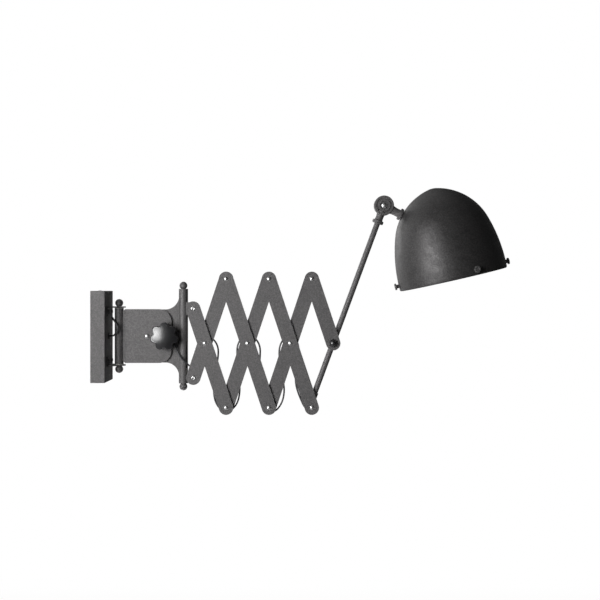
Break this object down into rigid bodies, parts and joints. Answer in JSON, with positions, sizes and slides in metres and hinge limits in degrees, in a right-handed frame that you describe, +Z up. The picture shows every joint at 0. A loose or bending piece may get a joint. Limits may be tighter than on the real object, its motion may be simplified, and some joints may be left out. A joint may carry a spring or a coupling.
{
  "type": "accordion wall lamp",
  "caption": "Wall lamp with a domed metal shade on a scissor arm that swings, tilts and extends from a flat wall box.",
  "frame": {"origin": "centre of the wall plate's back face, midway between the two wall screw holes", "axes": "+X out of the wall into the room, +Z up, +Y along the wall; the links lie in front of Y = 0, towards -Y"},
  "size_m": [0.7256, 0.1996, 0.395],
  "materials": {
    "powder_coat": "fine-textured matt dark grey powder coat",
    "coated_aluminium": "fine-textured matt dark grey powder coat on spun aluminium",
    "bright_steel": "zinc-plated steel",
    "polished_steel": "polished dark steel",
    "black_gloss": "glossy black phenolic",
    "brass": "turned brass",
    "nylon": "natural nylon",
    "rubber": "black rubber",
    "cable_jacket": "black flexible cable jacket",
    "bakelite": "black thermoplastic",
    "opal_glass": "opal glass"
  },
  "bodies": {
    "wall": {"wall_plate": "bright_steel", "box_cover": "powder_coat", "cover_screws": "polished_steel", "terminal_block": "nylon", "earth_screw": "brass", "cover_grommet": "rubber", "hinge_brackets": "powder_coat", "bracket_screws": "powder_coat", "hinge_pin": "bright_steel", "hinge_balls": "powder_coat", "cable_hinge_loop": "cable_jacket"},
    "swing_arm": {"swing_tube": "powder_coat", "hinge_bushes": "nylon", "swing_plate": "powder_coat", "cable_clip": "bakelite", "clamp_bolt": "bright_steel", "clamp_washers": "bright_steel", "pivot_rivet": "polished_steel", "friction_washer": "nylon", "cable_arm_run": "cable_jacket"},
    "knob": {"clamp_knob": "black_gloss", "knob_insert": "brass"},
    "tilt_arm": {"tilt_plate": "powder_coat", "guide_tube": "powder_coat", "guide_balls": "powder_coat", "upper_lug": "powder_coat", "plate_grommet": "rubber", "cable_scissor_run": "cable_jacket"},
    "slider": {"slider_block": "nylon", "lower_lug": "powder_coat"},
    "front_1": {"front_link_1": "powder_coat", "link_rivets_1": "polished_steel", "link_washers_1": "nylon"},
    "front_2": {"front_link_2": "powder_coat", "link_rivets_2": "polished_steel", "link_washers_2": "nylon"},
    "front_3": {"front_link_3": "powder_coat", "link_rivets_3": "polished_steel", "link_washers_3": "nylon"},
    "front_4": {"front_link_4": "powder_coat", "link_rivets_4": "polished_steel", "link_washers_4": "nylon"},
    "rear_1": {"rear_link_1": "powder_coat", "lower_rivet": "polished_steel"},
    "rear_2": {"rear_link_2": "powder_coat"},
    "rear_3": {"rear_link_3": "powder_coat"},
    "rod_arm": {"rod": "powder_coat", "rod_end": "powder_coat", "rod_collar": "powder_coat", "domed_nut": "black_gloss", "swivel_lower": "powder_coat", "swivel_screw": "polished_steel", "swivel_nut": "bright_steel"},
    "shade_head": {"swivel_upper": "powder_coat", "shade_nipple": "bright_steel", "shade": "coated_aluminium", "rim_ring": "coated_aluminium", "rim_screws": "powder_coat", "lamp_holder": "bakelite", "bulb": "opal_glass"}
  },
  "joints": [
    {"name": "wall_swing", "type": "hinge", "parent": "wall", "child": "swing_arm", "pos_m": [0.043, 0, 0], "axis": [0, 0, 1], "range_deg": [-80, 80], "deforming": ["cable_hinge_loop"]},
    {"name": "arm_tilt", "type": "hinge", "parent": "swing_arm", "child": "tilt_arm", "pos_m": [0.092, 0, 0], "axis": [0, -1, 0], "range_deg": [-12, 12], "deforming": ["cable_arm_run"]},
    {"name": "knob_turn", "type": "hinge", "parent": "swing_arm", "child": "knob", "pos_m": [0.1245, 0, 0], "axis": [0, -1, 0], "range_deg": [0, 300]},
    {"name": "scissor_extend", "type": "hinge", "parent": "tilt_arm", "child": "front_1", "pos_m": [0.1736, 0, 0.04825], "axis": [0, -1, 0], "range_deg": [-5, 42], "deforming": ["cable_scissor_run"]},
    {"name": "crossing_1", "type": "hinge", "parent": "front_1", "child": "rear_1", "pos_m": [0.19364, 0, -0.012], "axis": [0, -1, 0], "range_deg": [-84, 10], "deforming": ["cable_scissor_run"]},
    {"name": "slider_pin", "type": "hinge", "parent": "rear_1", "child": "slider", "pos_m": [0.1736, 0, -0.07225], "axis": [0, -1, 0], "range_deg": [-5, 42], "deforming": ["cable_scissor_run"]},
    {"name": "bottom_joint_1", "type": "hinge", "parent": "front_1", "child": "rear_2", "pos_m": [0.23089, 0, -0.12397], "axis": [0, -1, 0], "range_deg": [-84, 10], "deforming": ["cable_scissor_run"]},
    {"name": "crossing_2", "type": "hinge", "parent": "rear_2", "child": "front_2", "pos_m": [0.26814, 0, -0.012], "axis": [0, -1, 0], "range_deg": [-10, 84], "deforming": ["cable_scissor_run"]},
    {"name": "bottom_joint_2", "type": "hinge", "parent": "front_2", "child": "rear_3", "pos_m": [0.30538, 0, -0.12397], "axis": [0, -1, 0], "range_deg": [-84, 10], "deforming": ["cable_scissor_run"]},
    {"name": "crossing_3", "type": "hinge", "parent": "rear_3", "child": "front_3", "pos_m": [0.34263, 0, -0.012], "axis": [0, -1, 0], "range_deg": [-10, 84], "deforming": ["cable_scissor_run"]},
    {"name": "bottom_joint_3", "type": "hinge", "parent": "front_3", "child": "rod_arm", "pos_m": [0.37988, 0, -0.12397], "axis": [0, -1, 0], "range_deg": [-84, 10], "deforming": ["cable_scissor_run"]},
    {"name": "crossing_4", "type": "hinge", "parent": "rod_arm", "child": "front_4", "pos_m": [0.41712, 0, -0.012], "axis": [0, -1, 0], "range_deg": [-10, 84], "deforming": ["cable_scissor_run"]},
    {"name": "shade_tilt", "type": "hinge", "parent": "rod_arm", "child": "shade_head", "pos_m": [0.50583, -0.0036, 0.22782], "axis": [0, -1, 0], "range_deg": [-20, 75]}
  ],
  "couplings": [
    {"joint": "crossing_1", "follows": "scissor_extend", "ratio": -2},
    {"joint": "slider_pin", "follows": "scissor_extend", "ratio": 1},
    {"joint": "bottom_joint_1", "follows": "scissor_extend", "ratio": -2},
    {"joint": "crossing_2", "follows": "scissor_extend", "ratio": 2},
    {"joint": "bottom_joint_2", "follows": "scissor_extend", "ratio": -2},
    {"joint": "crossing_3", "follows": "scissor_extend", "ratio": 2},
    {"joint": "bottom_joint_3", "follows": "scissor_extend", "ratio": -2},
    {"joint": "crossing_4", "follows": "scissor_extend", "ratio": 2}
  ]
}
